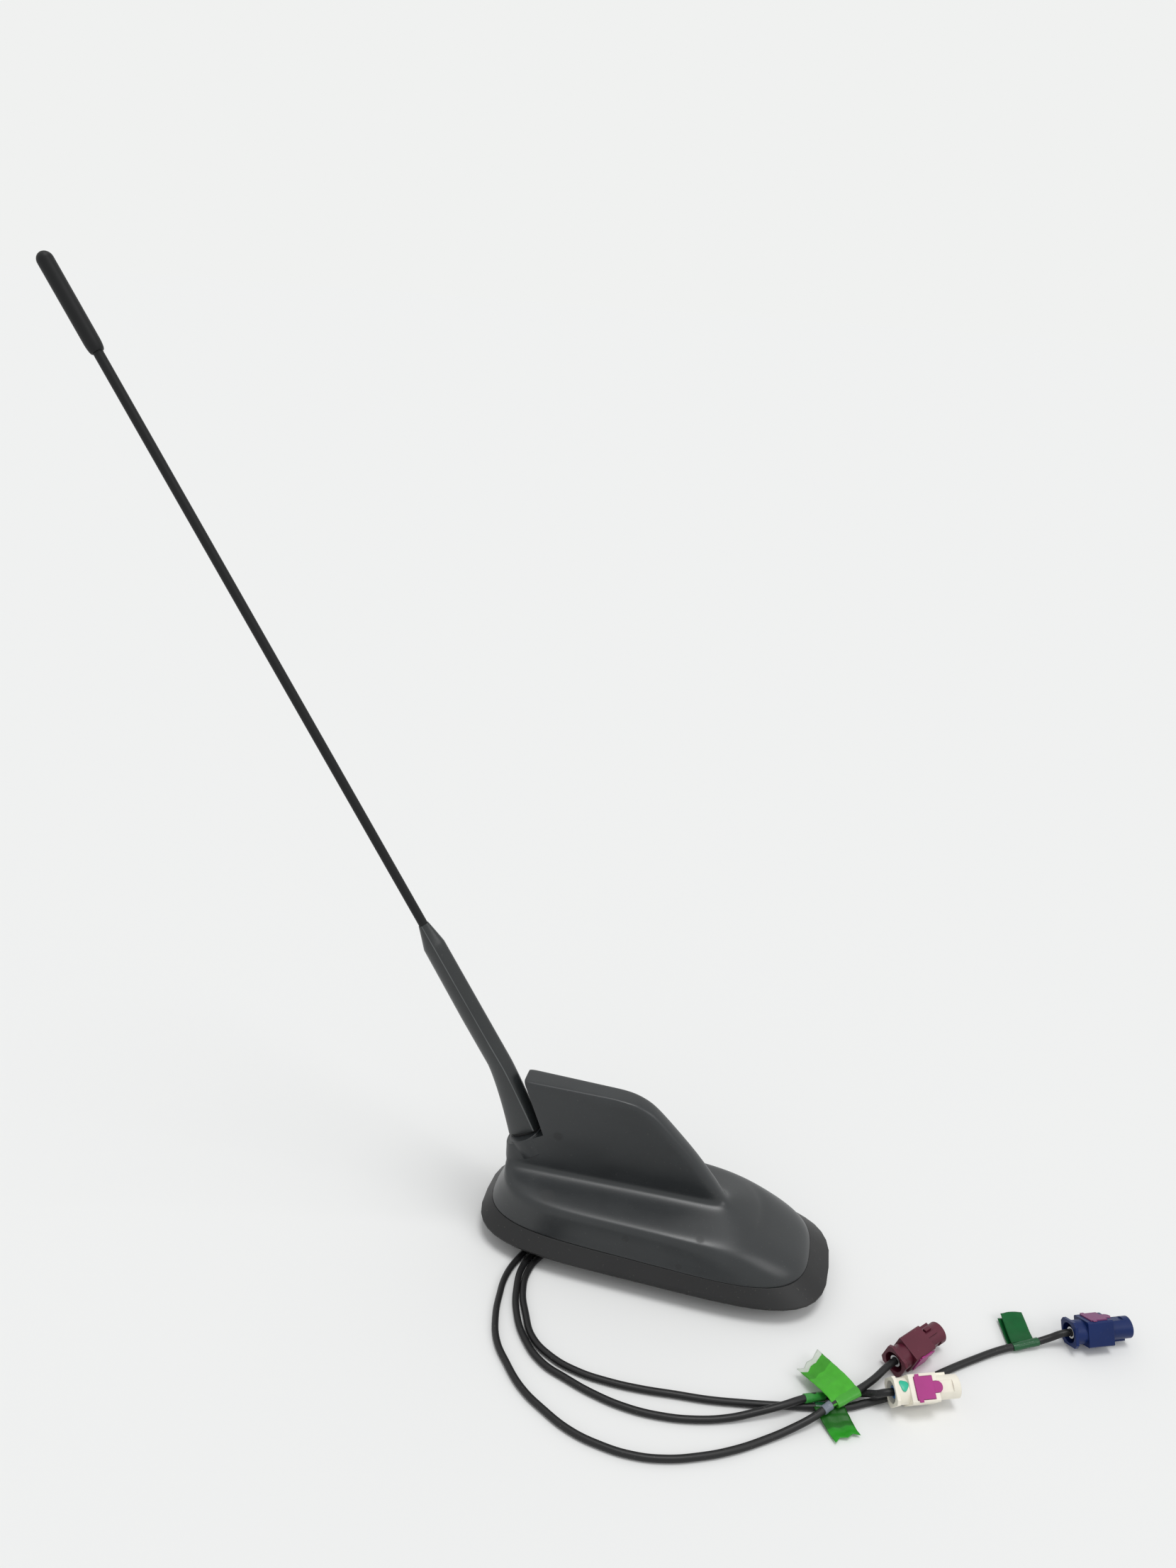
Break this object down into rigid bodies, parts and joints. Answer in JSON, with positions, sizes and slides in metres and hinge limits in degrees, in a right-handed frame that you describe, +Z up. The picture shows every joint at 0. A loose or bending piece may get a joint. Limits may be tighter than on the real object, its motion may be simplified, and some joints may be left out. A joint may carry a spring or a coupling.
{
  "type": "car roof antenna",
  "caption": "Roof antenna with a fin housing on a flared gasket, a raked whip mast and thin coaxial leads with keyed connectors.",
  "frame": {"origin": "axis of the roof bolt's threaded hole, at the end face of the fixing boss", "axes": "+X to the front of the car, +Z up, the leads lie on the -Y side"},
  "size_m": [0.4635, 0.139, 0.3918],
  "materials": {
    "housing": "fine-grained charcoal moulding",
    "gasket": "matt black elastomer",
    "casting": "die-cast, unpainted",
    "seal_rubber": "soft black rubber",
    "plated_steel": "zinc plated",
    "board": "green solder mask",
    "ceramic": "fired ceramic with a silvered top",
    "copper": "bare copper sheet",
    "brass": "plated brass",
    "sleeve": "satin charcoal elastomer",
    "rod_skin": "semi-matt black covering",
    "cable_jacket": "semi-matt black jacket",
    "bordeaux_plastic": "satin dark red moulding",
    "ivory_plastic": "satin ivory moulding",
    "blue_plastic": "satin blue moulding",
    "magenta_plastic": "satin magenta moulding",
    "white_plastic": "white insulator",
    "light_tape": "light green film with a clear end",
    "dark_tape": "dark green film"
  },
  "bodies": {
    "root": {"cover": "housing", "base_gasket": "gasket", "base_plate": "casting", "cable_grommet": "seal_rubber", "cover_seal": "seal_rubber", "cover_screws": "plated_steel", "board_screws": "plated_steel", "circuit_board": "board", "shield_can": "plated_steel", "satnav_patch": "ceramic", "phone_element": "copper", "seat_bush": "brass", "mast_insert": "plated_steel", "mast_nut": "plated_steel", "contact_spring": "brass", "foot_seal": "seal_rubber", "mast_sleeve": "sleeve", "mast_rod": "rod_skin", "mast_tip_cap": "rod_skin", "phone_cable": "cable_jacket", "radio_cable": "cable_jacket", "satnav_cable": "cable_jacket", "phone_connector": "bordeaux_plastic", "radio_connector": "ivory_plastic", "satnav_connector": "blue_plastic", "phone_lock": "magenta_plastic", "radio_lock": "magenta_plastic", "satnav_lock": "magenta_plastic", "phone_ferrule": "plated_steel", "radio_ferrule": "plated_steel", "satnav_ferrule": "plated_steel", "phone_outer_contact": "brass", "radio_outer_contact": "brass", "satnav_outer_contact": "brass", "phone_insulator": "white_plastic", "radio_insulator": "white_plastic", "satnav_insulator": "white_plastic", "phone_pin": "brass", "radio_pin": "brass", "satnav_pin": "brass", "phone_tape": "light_tape", "radio_tape": "dark_tape", "satnav_tape_near": "dark_tape", "satnav_tape_far": "dark_tape"}
  },
  "joints": []
}
